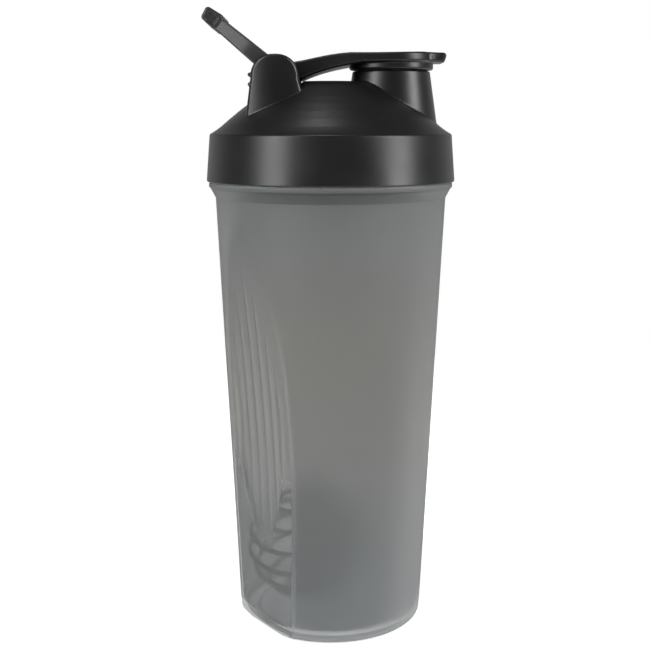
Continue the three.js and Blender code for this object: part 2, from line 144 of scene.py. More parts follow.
# spout
SPOUT_X = (seal_low.x + seal_high.x) / 2
SPOUT_TOP_Z = PLATEAU_Z + 3.8
SPOUT_TOP_R = 14.4
SPOUT_DRAFT = 0.15
BORE_R = 12.1
SPOUT_LENGTH = 16  # the spout's wall, from its top down into the crown

# hinge
EAR_TOP_Z = lid_high.z
EAR_RISE = 8.8  # height of the rounded top
EAR_HALF = 8.7
EAR_SQUARENESS = 2.3  # 2 would be an ellipse
EAR_INNER = 19.6
EAR_OUTER = 23.9
EAR_BULGE_R = 26
EAR_FOOT_Z = SKIRT_TOP_Z
RIDGE_X = HINGE_X - 9.5
RIDGE_ZS = (HINGE_Z + 1.0, HINGE_Z - 2.4)
RIDGE_R = 0.75
RIDGE_Y = 20.7
RIDGE_HALF = 1.1
SADDLE_R = 8.4
SOCKET_R = 2.62
SOCKET_END = 22.0
HUB_R = 6.4
HUB_HALF = 14.2
TRUNNION_R = 2.5

# flip cap
CAP_TOP_Z = cap_high.z - 0.3
TIP_X = cap_high.x
CAP_DISC_R = 16.6
RING_R = 15.6
RING_INNER_R = 13.4
RING_BOTTOM_Z = CAP_TOP_Z - 6.0
RING_CEILING_Z = RING_BOTTOM_Z + 2.0
RING_TOP_Z = CAP_TOP_Z - 2  # within the plate
BOSS_R = 9.7
BOSS_BORE_R = 7.9
BOSS_BOTTOM_Z = cap_low.z + 3.7
SEAL_INNER_R = 9.9

# carry loop
LOOP_ANGLE = math.radians(138.5)
LOOP_INNER = 14.6
LOOP_OUTER = loop_high.y
ARM_BEND = 15.0  # from the hinge axis, where the arms start to close in
ARM_BEND_ROUND = 2.0
BAR_START = 28.0
BAR_HALF = 12.6
BAR_ROUND = 1.3
DIMPLE_AT = (31.6, -0.2)
DIMPLE_HALF = (1.8, 1.9)
DIMPLE_DEPTH = 0.8

# whisk ball
BALL_R = 22.6
WIRE_R = 1.0
BALL_TURNS = 7
BALL_POLE = 0.07  # share of the way between the poles that each end leaves open
BALL_TILT = Matrix.Rotation(math.radians(-6), 3, "Y") @ Matrix.Rotation(math.radians(9), 3, "X")

MOST_FACES = 190000  # triangles in a moulded piece, below the 200,000 that an exported piece may have


# ---- meshes from arrays ----


def mesh_of(name, points, faces):
    """A mesh from an array of points in millimetres and an array of faces with equal corner counts."""
    mesh = bpy.data.meshes.new(name)
    mesh.vertices.add(len(points))
    mesh.vertices.foreach_set("co", (np.asarray(points) * MM).astype(np.float32).ravel())
    mesh.loops.add(faces.size)
    mesh.loops.foreach_set("vertex_index", faces.astype(np.int32).ravel())
    mesh.polygons.add(len(faces))
    mesh.polygons.foreach_set("loop_start", np.arange(0, faces.size, faces.shape[1], dtype=np.int32))
    mesh.update(calc_edges=True)
    mesh.validate()
    mesh.shade_smooth()
    return mesh


def object_of(mesh):
    piece = bpy.data.objects.new(mesh.name, mesh)
    bpy.context.scene.collection.objects.link(piece)
    return piece


def finish_piece(piece, body, node, material):
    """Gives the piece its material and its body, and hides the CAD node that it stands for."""
    piece.data.materials.append(material)
    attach(piece, body)
    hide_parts(node)


def points_of(mesh):
    """The mesh's points as an array, in millimetres."""
    flat = np.empty(len(mesh.vertices) * 3, np.float32)
    mesh.vertices.foreach_get("co", flat)
    return flat.reshape(-1, 3).astype(float) / MM


# ---- distance fields ----


def rounded_max(a, b, radius):
    """What is inside both fields, with their shared edge rounded."""
    beyond = np.sqrt(np.maximum(a + radius, 0) ** 2 + np.maximum(b + radius, 0) ** 2)
    return np.minimum(np.maximum(a, b), -radius) + beyond


def rounded_min(a, b, radius):
    """What is inside either field, with a fillet where they meet."""
    return -rounded_max(-a, -b, radius)


def outline(u, v, points):
    """Signed distance to a closed outline, negative inside."""
    nearest = None
    inside = None
    for (au, av), (bu, bv) in zip(points, points[1:] + points[:1]):
        eu, ev = bu - au, bv - av
        wu, wv = u - au, v - av
        along = np.clip((wu * eu + wv * ev) / (eu * eu + ev * ev), 0, 1)
        distance = (wu - along * eu) ** 2 + (wv - along * ev) ** 2
        crossed = ((v >= av) != (v >= bv)) & ((wv * eu - wu * ev > 0) == (ev > 0))
        nearest = distance if nearest is None else np.minimum(nearest, distance)
        inside = crossed if inside is None else inside ^ crossed
    return np.where(inside, -np.sqrt(nearest), np.sqrt(nearest))


def arc(centre, radius, start, end, steps):
    """Points of an arc, with its angles in degrees."""
    angles = np.radians(np.linspace(start, end, steps + 1))
    return [(centre[0] + radius * math.cos(a), centre[1] + radius * math.sin(a)) for a in angles]


def bezier(*controls, steps=10):
    """Points of a Bezier curve of any degree, without its first point."""
    points = []
    for t in np.linspace(0, 1, steps + 1)[1:]:
        level = [Vector(c) for c in controls]
        while len(level) > 1:
            level = [a.lerp(b, t) for a, b in zip(level, level[1:])]
        points.append(tuple(level[0]))
    return points


def net_cells(values):
    """Cells of the grid that the surface passes through, and the corner values of each."""
    shape = np.array(values.shape) - 1
    offsets = [(i, j, k) for i in (0, 1) for j in (0, 1) for k in (0, 1)]
    count = np.zeros(shape, np.int8)
    for i, j, k in offsets:
        count += values[i : i + shape[0], j : j + shape[1], k : k + shape[2]] < 0
    cells = np.argwhere((count > 0) & (count < 8))
    corner_values = np.stack([values[tuple((cells + o).T)] for o in offsets], axis=1)
    return cells, corner_values, np.array(offsets)


def net_points(corner_values, offsets):
    """One point for each cell: the middle of the places where the surface crosses the cell's edges."""
    total = np.zeros((len(corner_values), 3))
    crossings = np.zeros(len(corner_values))
    for a in range(8):
        for b in range(a + 1, 8):
            if np.abs(offsets[a] - offsets[b]).sum() != 1:
                continue
            va, vb = corner_values[:, a], corner_values[:, b]
            crossed = (va < 0) != (vb < 0)
            share = np.where(crossed, va / np.where(crossed, va - vb, 1), 0)
            place = offsets[a] + share[:, None] * (offsets[b] - offsets[a])
            total += place * crossed[:, None]
            crossings += crossed
    return total / crossings[:, None]


def net_faces(values, index):
    """A quad round every grid edge that the surface crosses, facing outwards."""
    faces = []
    inside = values < 0
    for axis in range(3):
        side, up = (axis + 1) % 3, (axis + 2) % 3
        low = [slice(1, -1)] * 3
        high = [slice(1, -1)] * 3
        low[axis] = slice(0, -1)
        high[axis] = slice(1, None)
        from_inside = inside[tuple(low)] & ~inside[tuple(high)]
        from_outside = ~inside[tuple(low)] & inside[tuple(high)]
        for crossed, order in ((from_inside, (0, 1, 2, 3)), (from_outside, (3, 2, 1, 0))):
            edge = np.argwhere(crossed)
            edge[:, side] += 1
            edge[:, up] += 1
            ring = []
            for back_side, back_up in ((1, 1), (0, 1), (0, 0), (1, 0)):
                cell = edge.copy()
                cell[:, side] -= back_side
                cell[:, up] -= back_up
                ring.append(index[tuple(cell.T)])
            faces.append(np.stack([ring[i] for i in order], axis=1))
    return np.concatenate(faces)


def slope(field, points, reach=0.02):
    """The field's gradient at each point."""
    columns = []
    for axis in range(3):
        step = np.zeros(3)
        step[axis] = reach
        ahead = field(*(points + step).T)
        behind = field(*(points - step).T)
        columns.append((ahead - behind) / (2 * reach))
    return np.stack(columns, axis=1)


def settle(field, points, limit, rounds=3):
    """Moves points onto the field's surface, and returns them with the surface's normals."""
    for _ in range(rounds):
        gradient = slope(field, points)
        square = np.maximum((gradient**2).sum(axis=1), 0.25)
        move = np.clip(field(*points.T) / square, -limit, limit)
        points = points - gradient * move[:, None]
    gradient = slope(field, points, 0.05)
    length = np.maximum(np.linalg.norm(gradient, axis=1), 1e-6)
    return points, gradient / length[:, None]


def field_piece(name, field, low, high, step):
    """A piece from a distance field in millimetres, sampled on a grid between two corners."""
    axes = [np.arange(a - 2 * step, b + 2.5 * step, step) for a, b in zip(low, high)]
    x, y, z = np.meshgrid(*[a.astype(np.float32) for a in axes], indexing="ij", sparse=True)
    values = np.broadcast_to(field(x, y, z), [len(a) for a in axes])
    cells, corner_values, offsets = net_cells(values)
    index = np.full(np.array(values.shape) - 1, -1, np.int32)
    index[tuple(cells.T)] = np.arange(len(cells))
    start = np.array([a[0] for a in axes])
    points = start + (cells + net_points(corner_values, offsets)) * step
    points, _ = settle(field, points, step / 2)
    mesh = mesh_of(name, points, net_faces(values, index))
    piece = object_of(mesh)
    triangles = 2 * len(mesh.polygons)
    if triangles > MOST_FACES:
        thinner = piece.modifiers.new("thinner", "DECIMATE")
        thinner.ratio = MOST_FACES / triangles
        evaluated = piece.evaluated_get(bpy.context.evaluated_depsgraph_get())
        mesh = bpy.data.meshes.new_from_object(evaluated)
        mesh.name = name
        piece.modifiers.clear()
        piece.data = mesh
    points, normals = settle(field, points_of(mesh), step / 4, 2)
    mesh.vertices.foreach_set("co", (points * MM).astype(np.float32).ravel())
    mesh.update()
    mesh.normals_split_custom_set_from_vertices(normals)
    return piece


def rod_along_y(x, y, z, radius, centre_x, centre_z, half, edge=0.3):
    """A rod about an axis along Y, reaching the given half length to each side of the middle."""
    side = np.sqrt((x - centre_x) ** 2 + (z - centre_z) ** 2) - radius
    return rounded_max(side, np.abs(y) - half, edge)


# ---- cup ----


def cup_radius(z):
    return CUP_R0 + CUP_TAPER * z


def grip_distance(z):
    """Distance of a grip's flat from the cup's axis."""
    above = np.maximum(0, z - GRIP_BEND_Z)
    return GRIP_DISTANCE + GRIP_LEAN * z + above**2 / (2 * GRIP_BEND_R)


def rib_height(offset, z):
    """How far the ribs stand out of a grip, at an offset from its middle."""
    height = np.zeros(np.broadcast(offset, z).shape)
    for place, low, high in RIBS:
        along = np.clip((z - low) / (high - low), 0, 1)
        swell = np.clip(np.sin(math.pi * along), 0, 1) ** RIB_SWELL
        half = RIB_HALF * np.maximum(swell, RIB_TIP)
        for side in {-1, 1} if place else {1}:
            across = np.clip(1 - ((offset - side * place) / half) ** 2, 0, 1)
            height = np.maximum(height, RIB_HEIGHT * swell * across**RIB_ROUND)
    return height


def soft_min(a, b, width):
    """The smaller of two values, blended where they are closer than a width."""
    overlap = np.maximum(width - np.abs(a - b), 0) / width
    return np.minimum(a, b) - overlap**2 * width / 4


def thread_height(angle, z, start_z, turns):
    """Height of a screw thread above its root, as a share of its full height."""
    turn = np.mod(angle / (2 * math.pi), 1)
    best = np.zeros(np.broadcast(angle, z).shape)
    for whole in range(-1, 3):
        at = turn + whole
        end = np.clip(np.minimum(at - turns[0], turns[1] - at) / THREAD_LEAD_IN, 0, 1)
        off = np.abs(z - start_z - LEAD * at)
        flank = np.clip((THREAD_HALF - off) / (THREAD_FLANK * THREAD_HALF), 0, 1)
        best = np.maximum(best, end * flank)
    return best


def cup_angles(z):
    """Angles round the cup at each height. Across a grip a column keeps its offset from the middle."""
    offsets = np.arange(-GRIP_SPAN, GRIP_SPAN + GRIP_COLUMN / 2, GRIP_COLUMN)
    across = np.arctan(offsets / grip_distance(z)[:, None])
    edge = across[:, -1:]
    between = edge + (math.pi - 2 * edge) * np.linspace(0, 1, PLAIN_COLUMNS + 2)[1:-1]
    return np.concatenate([grip + part for grip in GRIP_ANGLES for part in (across, between)], axis=1)


def rounded_profile(corners, steps=5):
    """Points of a profile of (r, z, rounding) corners, each corner turned by an arc of its rounding."""
    points = []
    for i, (r, z, rounding) in enumerate(corners):
        here = Vector((r, z))
        if rounding == 0 or i in (0, len(corners) - 1):
            points.append(here)
            continue
        before = (Vector(corners[i - 1][:2]) - here).normalized()
        after = (Vector(corners[i + 1][:2]) - here).normalized()
        half = before.angle(after) / 2
        back = rounding / math.tan(half)
        centre = here + (before + after).normalized() * (rounding / math.sin(half))
        first = here + before * back - centre
        last = here + after * back - centre
        for share in np.linspace(0, 1, steps + 1):
            spread = first.lerp(last, share)
            points.append(centre + spread.normalized() * rounding)
    return points


def with_rows(points, longest):
    """The profile with its long stretches cut into rows no longer than longest(z)."""
    rows = [points[0]]
    for a, b in zip(points, points[1:]):
        pieces = max(1, math.ceil((b - a).length / longest((a.y + b.y) / 2)))
        rows += [a.lerp(b, (i + 1) / pieces) for i in range(pieces)]
    return np.array(rows)


def outer_rows():
    corners = [
        (0, FOOT_RECESS, 0),
        (FOOT_INNER_R - 1.2, FOOT_RECESS, 0.8),
        (FOOT_INNER_R, 0, 0.5),
        (FOOT_R, 0, 1.2),
        (cup_radius(1.2) - 0.2, 1.2, 2.0),
        (cup_radius(6), 6, 0),
        (cup_radius(COLLAR_BASE_Z + 0.4), COLLAR_BASE_Z + 0.4, 1.0),
        (COLLAR_R - 0.7, COLLAR_TOP_Z - 2.2, 1.6),
        (COLLAR_R, COLLAR_TOP_Z - 1.5, 0.5),
        (COLLAR_R, COLLAR_TOP_Z, 0.5),
        (NECK_R, COLLAR_TOP_Z, 0.6),
        (NECK_R, RIM_Z, 0.6),
    ]
    points = rounded_profile(corners + [(NECK_R - 1, RIM_Z, 0)])[:-1]
    return with_rows(points, lambda z: 0.5 if z > COLLAR_TOP_Z else 1.3)


def inner_rows():
    corners = [
        (NECK_R - 1, RIM_Z, 0),
        (NECK_R - NECK_WALL, RIM_Z, 0.5),
        (NECK_R - NECK_WALL, 160, 8),
        (cup_radius(110) - WALL, 110, 0),
        (cup_radius(FLOOR_TOP) - WALL, FLOOR_TOP, 4),
        (0, FLOOR_TOP, 0),
    ]
    return with_rows(rounded_profile(corners), lambda z: 4.0)


def cup_skin():
    """Radius, angle and height over rows and columns, and how frosted the skin is there."""
    outside = outer_rows()
    inside = inner_rows()
    r, z = np.concatenate([outside, inside])[1:-1].T  # the two poles are single points
    angles = cup_angles(z)
    outer = np.arange(len(r)) < len(outside) - 1
    r, z, outer = r[:, None], z[:, None], outer[:, None]
    frost = np.where(outer, 1.0, 0.0) * np.ones_like(angles)
    reach = np.broadcast_to(r, frost.shape)
    for grip in GRIP_ANGLES:
        turn = np.mod(angles - grip + math.pi, 2 * math.pi) - math.pi
        facing = np.abs(turn) < GRIP_REACH
        cosine = np.cos(np.where(facing, turn, 0))
        distance = grip_distance(z)
        offset = distance * np.tan(np.where(facing, turn, 0))
        ribs = rib_height(offset, z)
        flat = np.where(outer, distance + ribs, distance - WALL) / cosine
        cut = facing & (z < COLLAR_BASE_Z + 0.2)
        on_flat = np.clip((reach - flat) / 0.5 + 0.5, 0, 1)  # a blend across the crease
        places, lower_ends, _ = zip(*RIBS)
        above_ends = z - np.interp(np.abs(offset), places, lower_ends)
        polish = GRIP_POLISH * np.interp(above_ends, (0, GRIP_FADE), (1, RIB_POLISH))
        frost = np.where(cut & outer, frost * (1 - polish * on_flat), frost)
        reach = np.where(cut, soft_min(reach, flat, GRIP_CREASE), reach)
    ridge = thread_height(angles, z, CUP_THREAD_Z, (0, CUP_THREAD_TURNS))
    on_neck = outer & (z > COLLAR_TOP_Z + 0.5) & (z < RIM_Z - 0.5)
    reach = reach + np.where(on_neck, THREAD_HEIGHT * ridge, 0)
    return reach, angles, z * np.ones_like(reach), frost


def give_values(mesh, name, values):
    """Gives each point a value from 0 to 1, which the mesh's material reads by its name."""
    layer = mesh.attributes.new(name, "FLOAT", "POINT")
    layer.data.foreach_set("value", values.astype(np.float32))


def build_cup():
    reach, angles, height, frost = cup_skin()
    rows, columns = reach.shape
    x = reach * np.cos(angles)
    y = reach * np.sin(angles)
    ring = np.stack([x, y, height], axis=2).reshape(-1, 3)
    points = np.concatenate([ring, [[0, 0, FOOT_RECESS], [0, 0, FLOOR_TOP]]])
    here = np.arange(rows * columns).reshape(rows, columns)
    there = np.roll(here, -1, axis=1)
    quads = np.stack([here[:-1], there[:-1], there[1:], here[1:]], axis=2).reshape(-1, 4)
    under = np.stack([there[0], here[0], np.full(columns, rows * columns)], axis=1)
    over = np.stack([here[-1], there[-1], np.full(columns, rows * columns + 1)], axis=1)
    triangles = np.concatenate([quads[:, [0, 1, 2]], quads[:, [0, 2, 3]], under, over])
    mesh = mesh_of("cup_frosted", points, triangles)
    # painted light: a mask over the cup's floor, which the material turns into a lighter tint
    low_down = np.clip((FLOOR_TOP + FLOOR_FADE - height) / FLOOR_FADE, 0, 1)
    within_foot = np.clip((FOOT_INNER_R + 1 - reach) / FLOOR_FADE, 0, 1)
    give_values(mesh, "frost", np.append(frost, [1, 0]))
    give_values(mesh, "clear", np.append(low_down * within_foot, [1, 1]))
    return object_of(mesh)


# ---- lid ----


def crown_z(r):
    out = r - PLATEAU_R
    return PLATEAU_Z - CROWN_FALL * out - CROWN_BEND * out * out


LID_OUTSIDE = [
    (-5, SKIRT_BOTTOM_Z),
    (SKIRT_R - 0.5, SKIRT_BOTTOM_Z),
    *arc((SKIRT_R - 0.5, SKIRT_BOTTOM_Z + 0.5), 0.5, -60, 0, 2),
    *arc((SKIRT_TOP_R - 1.0, SKIRT_TOP_Z - 1.0), 1.0, 4, 64, 5),
    *bezier(
        (SKIRT_TOP_R - 0.56, SKIRT_TOP_Z - 0.1),
        (CROWN_EDGE_R - 0.9, CROWN_EDGE_Z + 0.2),
        (FLARE_R, crown_z(FLARE_R)),
        steps=5,
    ),
    *[(r, crown_z(r)) for r in (38, 34.5, 31, 27.5, 24.8, 22.4)],
    *bezier((22.4, crown_z(22.4)), (18.6, PLATEAU_Z + 0.1), (14.4, PLATEAU_Z), steps=5),
    (-5, PLATEAU_Z),
]
CROWN_DROP = SHELL * math.hypot(1, CROWN_FALL + 2 * CROWN_BEND * (PLUG_INNER_R - PLATEAU_R))
LID_MOUTH = [
    (-5, SKIRT_BOTTOM_Z - 9),
    (SKIRT_INNER_R, SKIRT_BOTTOM_Z - 9),
    (SKIRT_INNER_R, CEILING_Z),
    (PLUG_R, CEILING_Z),
    (PLUG_R, PLUG_BOTTOM_Z),
    (-5, PLUG_BOTTOM_Z),
]
LID_DOME = [
    (-5, PLUG_BOTTOM_Z - 9),
    (PLUG_INNER_R, PLUG_BOTTOM_Z - 9),
    (PLUG_INNER_R, crown_z(PLUG_INNER_R) - CROWN_DROP),
    (PLATEAU_R - 0.6, PLATEAU_Z - SHELL - 0.4),
    (14.6, PLATEAU_Z - SHELL),
    (-5, PLATEAU_Z - SHELL),
]


def ear_top():
    """The ear's rounded top from left to right, squarer than an ellipse."""
    points = []
    for a in np.linspace(math.pi, 0, 25):
        across = math.copysign(abs(math.cos(a)) ** (2 / EAR_SQUARENESS), math.cos(a))
        rise = abs(math.sin(a)) ** (2 / EAR_SQUARENESS)
        points.append((HINGE_X - 0.65 + EAR_HALF * across, EAR_TOP_Z - EAR_RISE * (1 - rise)))
    return points


EAR = [
    (HINGE_X - 12.0, EAR_FOOT_Z),
    *ear_top(),
    (HINGE_X + 9.3, HINGE_Z - 4.9),
    (HINGE_X + 10.4, HINGE_Z - 11.6),
    (HINGE_X + 10.4, EAR_FOOT_Z),
]


def spout_field(x, y, z):
    round_axis = np.sqrt((x - SPOUT_X) ** 2 + y**2)
    cone = (round_axis - SPOUT_TOP_R - (SPOUT_TOP_Z - z) * SPOUT_DRAFT) / math.hypot(1, SPOUT_DRAFT)
    return np.maximum(rounded_max(cone, z - SPOUT_TOP_Z, 0.5), CROWN_EDGE_Z - z)


def ear_field(x, y, z):
    away = np.abs(y)
    plate = outline(x, z, EAR)
    bulge = np.sqrt((x - HINGE_X) ** 2 + (away + EAR_BULGE_R - EAR_OUTER) ** 2) - EAR_BULGE_R
    ear = rounded_max(rounded_max(plate, bulge, 1.1), EAR_INNER - away, 0.4)
    for ridge_z in RIDGE_ZS:
        side = np.sqrt((x - RIDGE_X) ** 2 + (z - ridge_z) ** 2) - RIDGE_R
        ridge = rounded_max(side, np.abs(away - RIDGE_Y) - RIDGE_HALF, 0.4)
        ear = rounded_min(ear, ridge, 0.3)
    return ear


def lid_hollow(x, y, z):
    r = np.sqrt(x * x + y * y)
    room = np.minimum(outline(r, z, LID_MOUTH), outline(r, z, LID_DOME))
    saddle = rod_along_y(x, y, z, SADDLE_R + SHELL, HINGE_X, HINGE_Z, EAR_INNER + SHELL, 1.5)
    room = rounded_max(room, -saddle, 0.6)
    well = np.maximum(spout_field(x, y, z), SPOUT_TOP_Z - SPOUT_LENGTH - z)
    return rounded_max(room, -well, 0.6)


def lid_thread(x, y, z):
    """The thread inside the skirt, as how far a point is from being in it."""
    r = np.sqrt(x * x + y * y)
    angle = np.arctan2(y, x)
    share = thread_height(angle, z, CUP_THREAD_Z - LEAD / 2, LID_THREAD_TURNS)
    return (SKIRT_INNER_R - LID_THREAD_HEIGHT * share) - r


def lid_field(x, y, z):
    r = np.sqrt(x * x + y * y)
    lid = outline(r, z, LID_OUTSIDE)
    saddle = rod_along_y(x, y, z, SADDLE_R, HINGE_X, HINGE_Z, EAR_INNER)
    lid = rounded_max(lid, -saddle, 2.0)
    lid = rounded_min(lid, spout_field(x, y, z), 0.25)
    lid = rounded_min(lid, ear_field(x, y, z), 0.25)
    room = np.maximum(lid_hollow(x, y, z), -lid_thread(x, y, z) * 0.6)
    lid = rounded_max(lid, -room, 0.35)
    bore = np.sqrt((x - SPOUT_X) ** 2 + y**2) - BORE_R
    lid = rounded_max(lid, -np.maximum(bore, PLUG_BOTTOM_Z - z), 0.6)
    return np.maximum(lid, -rod_along_y(x, y, z, SOCKET_R, HINGE_X, HINGE_Z, SOCKET_END))


def build_lid():
    low = (-SKIRT_R, -SKIRT_R, SKIRT_BOTTOM_Z)
    high = (SKIRT_R, SKIRT_R, lid_high.z)
    step = 0.46
    return field_piece("lid_moulding", lid_field, low, high, step)


# ---- flip cap ----


def mirrored(points):
    """The outline's points and their mirror images in the first axis, as one closed outline."""
    return points + [(u, -v) for u, v in reversed(points)]


CAP_SHOULDER = (SPOUT_X + CAP_DISC_R * math.cos(0.2 * math.pi), CAP_DISC_R * math.sin(0.2 * math.pi))
CAP_PLAN = mirrored(
    [
        *bezier((TIP_X - 0.3, 0), (TIP_X - 0.3, 5), (TIP_X - 1.2, 8.0), steps=4),
        *bezier((TIP_X - 1.2, 8.2), (TIP_X - 4.5, 8.2), CAP_SHOULDER, steps=6),
        *arc((SPOUT_X, 0), CAP_DISC_R, 40, 90, 12),
        *bezier((SPOUT_X, CAP_DISC_R), (8, CAP_DISC_R), (4, HUB_HALF), (-6, HUB_HALF)),
        (HINGE_X - 12, HUB_HALF),
    ]
)
CAP_SIDE = [
    (HINGE_X, HINGE_Z + HUB_R - 0.3),
    *bezier(
        (HINGE_X, HINGE_Z + HUB_R - 0.3),
        (HINGE_X + 7.4, HINGE_Z + 4.6),
        (HINGE_X + 13.4, HINGE_Z + 8.4),
        (7, CAP_TOP_Z - 0.1),
    ),
    *bezier((7, CAP_TOP_Z - 0.1), (22, CAP_TOP_Z - 0.3), (34, CAP_TOP_Z + 0.3), steps=6),
    (TIP_X + 1, CAP_TOP_Z + 0.1),
    (TIP_X - 1.7, CAP_TOP_Z - 3.4),
    (37, CAP_TOP_Z - 3.3),
    (12, CAP_TOP_Z - 3.7),
    *bezier(
        (12, CAP_TOP_Z - 3.7),
        (HINGE_X + 17.4, HINGE_Z + 3.8),
        (HINGE_X + 9.0, HINGE_Z - 0.3),
        steps=8,
    ),
    (HINGE_X, HINGE_Z - 1.2),
]


def cap_field(x, y, z):
    cap = rounded_max(outline(x, y, CAP_PLAN), outline(x, z, CAP_SIDE), 1.0)
    hub = rod_along_y(x, y, z, HUB_R, HINGE_X, HINGE_Z, HUB_HALF, 0.7)
    cap = rounded_min(cap, hub, 1.0)
    r = np.sqrt((x - SPOUT_X) ** 2 + y**2)
    middle = (RING_BOTTOM_Z + RING_TOP_Z) / 2
    ring = rounded_max(r - RING_R, np.abs(z - middle) - (middle - RING_BOTTOM_Z), 0.8)
    cap = rounded_min(cap, ring, 0.3)
    cap = rounded_max(cap, -rounded_max(r - RING_INNER_R, z - RING_CEILING_Z, 0.3), 0.3)
    middle = (BOSS_BOTTOM_Z + RING_TOP_Z) / 2
    boss = rounded_max(r - BOSS_R, np.abs(z - middle) - (middle - BOSS_BOTTOM_Z), 0.6)
    cap = rounded_min(cap, boss, 0.3)
    cap = rounded_max(cap, -rounded_max(r - BOSS_BORE_R, z - RING_CEILING_Z, 0.3), 0.3)
    return rounded_min(cap, rod_along_y(x, y, z, TRUNNION_R, HINGE_X, HINGE_Z, cap_high.y, 0.4), 0.2)


def build_cap():
    step = 0.38
    return field_piece("flip_cap_moulding", cap_field, cap_low, cap_high, step)


# ---- carry loop ----

# outlines with the loop lying flat: distance from the hinge axis, then height
ARM = [
    *arc((0, 0), HUB_R, 16, 318, 40),
    (BAR_START + 2, -2.75),
    (BAR_START + 2, 1.9),
]
BAR_CORE = [(29.3, 1.05), (33.85, 0.95), (34.4, -1.5), (29.7, -2.35)]  # BAR_ROUND inside its faces


def loop_field(x, y, z):
    along = (x - HINGE_X) * math.cos(LOOP_ANGLE) + (z - HINGE_Z) * math.sin(LOOP_ANGLE)
    across = (z - HINGE_Z) * math.cos(LOOP_ANGLE) - (x - HINGE_X) * math.sin(LOOP_ANGLE)
    away = np.abs(y)
    closing = (LOOP_OUTER - BAR_HALF) / (BAR_START - ARM_BEND)
    beyond = along - ARM_BEND
    moved = away + closing * (beyond + np.sqrt(beyond**2 + ARM_BEND_ROUND**2)) / 2
    middle = (LOOP_INNER + LOOP_OUTER) / 2
    side = (np.abs(moved - middle) - (LOOP_OUTER - middle)) / math.hypot(1, closing)
    arm = rounded_max(outline(along, across, ARM), side, 0.8)
    bar = rounded_max(outline(along, across, BAR_CORE) - BAR_ROUND, away - BAR_HALF, 0.9)
    loop = rounded_min(arm, bar, 0.4)
    dimple_along = np.abs(along - DIMPLE_AT[0]) - DIMPLE_HALF[0]
    dimple_across = np.abs(across - DIMPLE_AT[1]) - DIMPLE_HALF[1]
    dimple = rounded_max(dimple_along, dimple_across, 1.0)
    loop = rounded_max(loop, -rounded_max(dimple, BAR_HALF - DIMPLE_DEPTH - away, 0.5), 0.5)
    eye = np.sqrt(along**2 + across**2) - SOCKET_R
    return rounded_max(loop, -eye, 0.3)


def build_loop():
    step = 0.3
    return field_piece("carry_loop_moulding", loop_field, loop_low, loop_high, step)


# ---- turned rubber parts and the whisk ball ----


def turned(name, corners, centre_x=0, sides=256):
    """A closed ring of rubber, turned about a vertical axis from (r, z, rounding) corners."""
    opened = [corners[-1], *corners, corners[0]]
    points = rounded_profile(opened)[1:-1]
    count = len(points)
    angles = np.linspace(0, 2 * math.pi, sides, endpoint=False)
    r, z = np.array(points).T
    x = centre_x + np.cos(angles)[:, None] * r
    y = np.sin(angles)[:, None] * r
    ring = np.stack([x, y, np.broadcast_to(z, x.shape)], axis=2).reshape(-1, 3)
    here = np.arange(sides * count).reshape(sides, count)
    right = np.roll(here, -1, axis=0)
    faces = np.stack([here, right, np.roll(right, -1, axis=1), np.roll(here, -1, axis=1)], axis=2)
    mesh = mesh_of(name, ring, faces.reshape(-1, 4))
    return object_of(mesh)


def build_gasket():
    inner_r, outer_r = PLUG_R + 0.25, gasket_high.x
    low, high = gasket_low.z, gasket_high.z
    corners = [(inner_r, low, 0.5), (outer_r, low, 0.5), (outer_r, high, 0.5), (inner_r, high, 0.5)]
    return turned("gasket_ring", corners)


def build_seal():
    outer_r = seal_high.x - SPOUT_X
    corners = [
        (SEAL_INNER_R, seal_low.z, 0.3),
        (11.2, seal_low.z, 0.5),
        (11.75, seal_low.z + 1, 0.6),
        (11.5, seal_low.z + 5.6, 0.4),
        (outer_r, seal_low.z + 5.7, 0.3),
        (outer_r, seal_high.z, 0.3),
        (SEAL_INNER_R, seal_high.z, 0.3),
    ]
    return turned("spout_seal_ring", corners, SPOUT_X)


def ball_line(share):
    """The middle of the wire, from one pole of the ball to the other."""
    polar = (BALL_POLE + (1 - 2 * BALL_POLE) * share) * math.pi
    turn = BALL_TURNS * 2 * math.pi * share
    reach = (BALL_R - WIRE_R) * (1 - 0.012 * np.cos(5 * turn))
    direction = [np.sin(polar) * np.cos(turn), np.sin(polar) * np.sin(turn), np.cos(polar)]
    return (reach * np.array(direction)).T @ np.array(BALL_TILT).T


def build_ball():
    steps, sides = 1100, 14
    middle = ball_line(np.linspace(0, 1, steps))
    ahead = np.gradient(middle, axis=0)
    ahead /= np.linalg.norm(ahead, axis=1)[:, None]
    out = middle / np.linalg.norm(middle, axis=1)[:, None]
    out -= ahead * (out * ahead).sum(axis=1)[:, None]
    out /= np.linalg.norm(out, axis=1)[:, None]
    over = np.cross(ahead, out)
    angles = np.linspace(0, 2 * math.pi, sides, endpoint=False)[None, :, None]
    ring = middle[:, None] + WIRE_R * (np.cos(angles) * out[:, None] + np.sin(angles) * over[:, None])
    ends = [middle[0] - ahead[0] * 0.6, middle[-1] + ahead[-1] * 0.6]
    points = np.concatenate([ring.reshape(-1, 3), ends])
    points += np.array((ball_low + ball_high) / 2) - (points.min(axis=0) + points.max(axis=0)) / 2
    here = np.arange(steps * sides).reshape(steps, sides)
    round_it = np.roll(here, -1, axis=1)
    quads = np.stack([here[:-1], round_it[:-1], round_it[1:], here[1:]], axis=2).reshape(-1, 4)
    first = np.stack([round_it[0], here[0], np.full(sides, steps * sides)], axis=1)
    last = np.stack([here[-1], round_it[-1], np.full(sides, steps * sides + 1)], axis=1)
    triangles = np.concatenate([quads[:, [0, 1, 2]], quads[:, [0, 2, 3]], first, last])
    return object_of(mesh_of("whisk_wire", points, triangles))


# ---- materials ----


